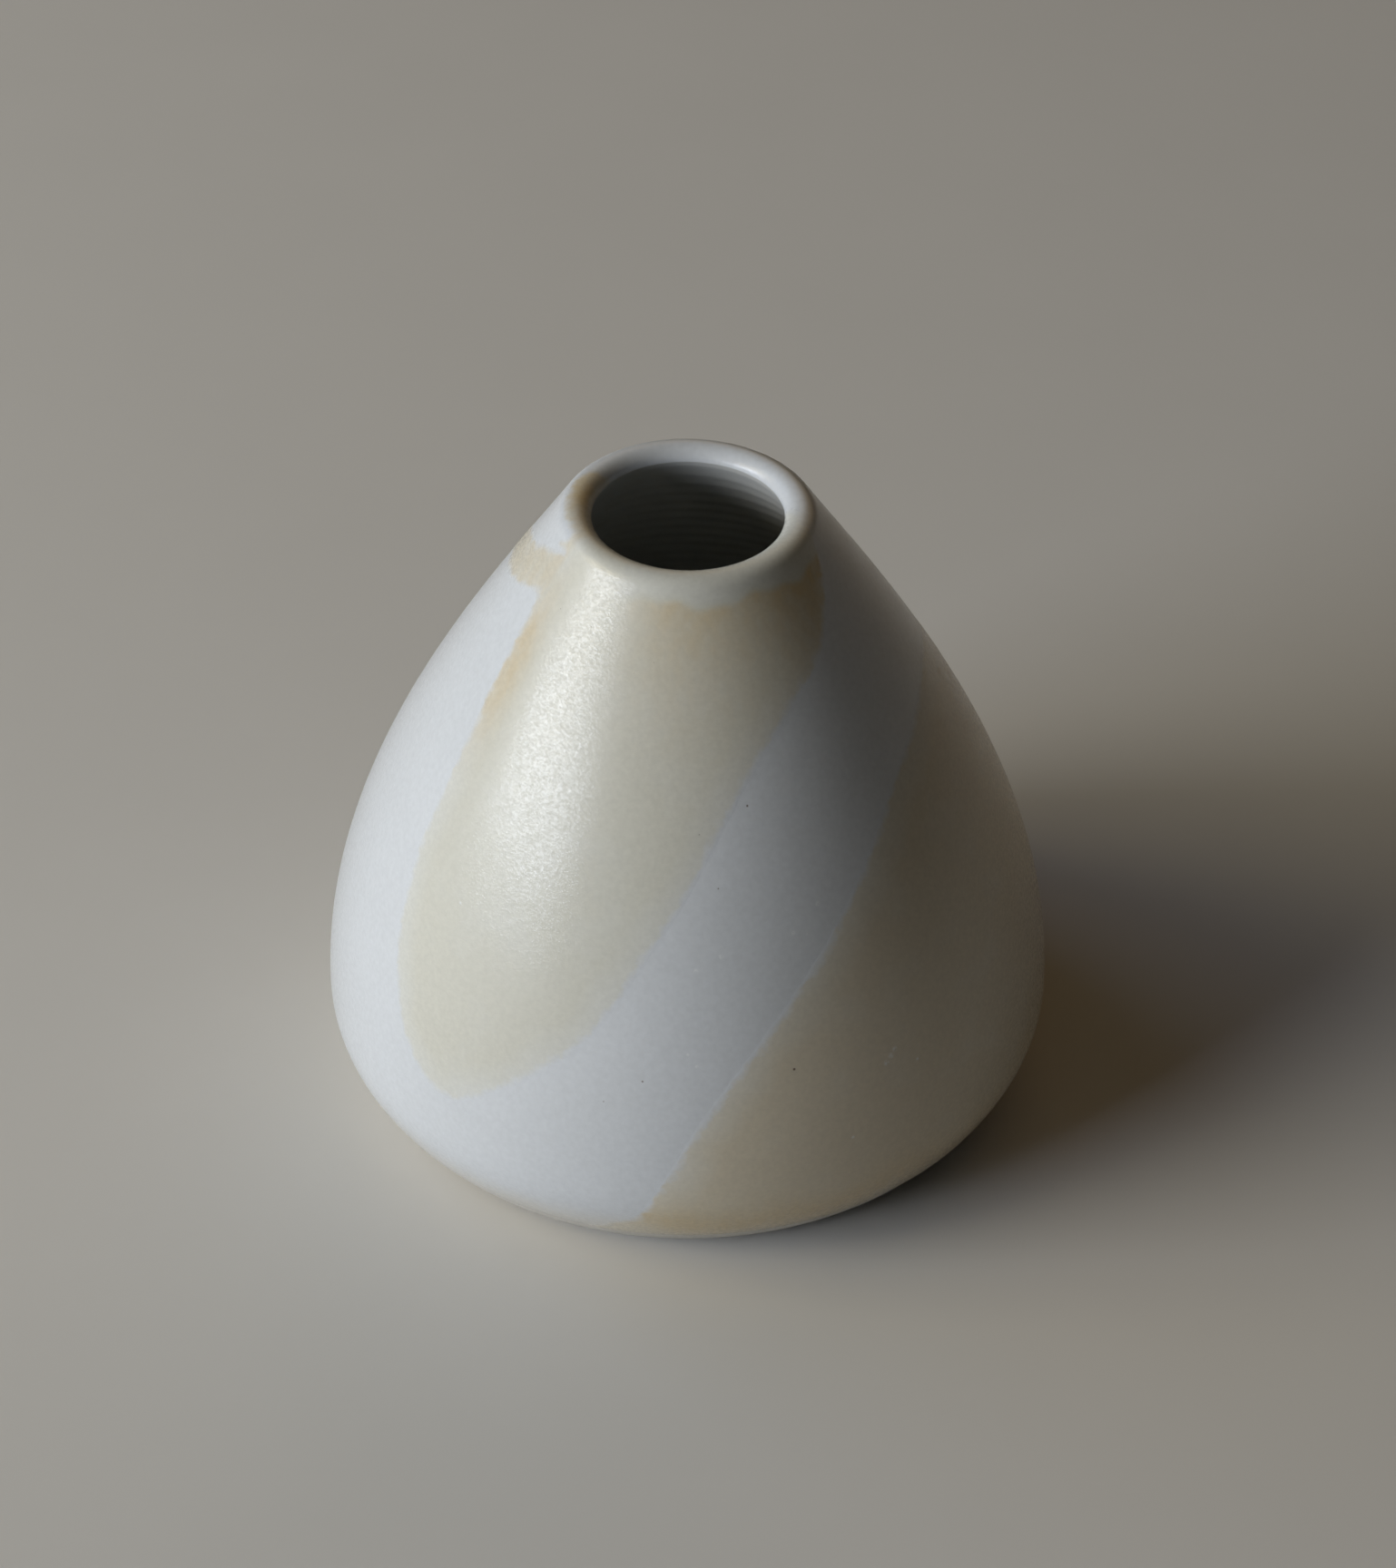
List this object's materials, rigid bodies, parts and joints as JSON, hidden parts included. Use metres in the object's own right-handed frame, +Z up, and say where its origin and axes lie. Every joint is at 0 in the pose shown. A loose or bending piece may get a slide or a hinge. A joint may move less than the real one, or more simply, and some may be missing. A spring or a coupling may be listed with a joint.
{
  "type": "bud vase",
  "caption": "Small ceramic bud vase: a low cone with a rounded belly, a small rolled mouth and poured satin glazes, for holding a stem or two.",
  "frame": {"origin": "middle of the base, on the surface that the vase stands on", "axes": "+Z up through the mouth; -Y towards the front, where the poured cream glaze is; +X to the right of the front, where the dipped cream glaze is"},
  "size_m": [0.084, 0.084, 0.0758],
  "materials": {
    "bare_stoneware": "unglazed, sponged smooth",
    "liner_glaze": "satin",
    "white_glaze": "satin",
    "cream_glaze": "satin"
  },
  "bodies": {
    "root": {"clay_body": "bare_stoneware", "liner_glaze": "liner_glaze", "white_glaze": "white_glaze", "cream_glaze_front": "cream_glaze", "cream_glaze_side": "cream_glaze"}
  },
  "joints": []
}
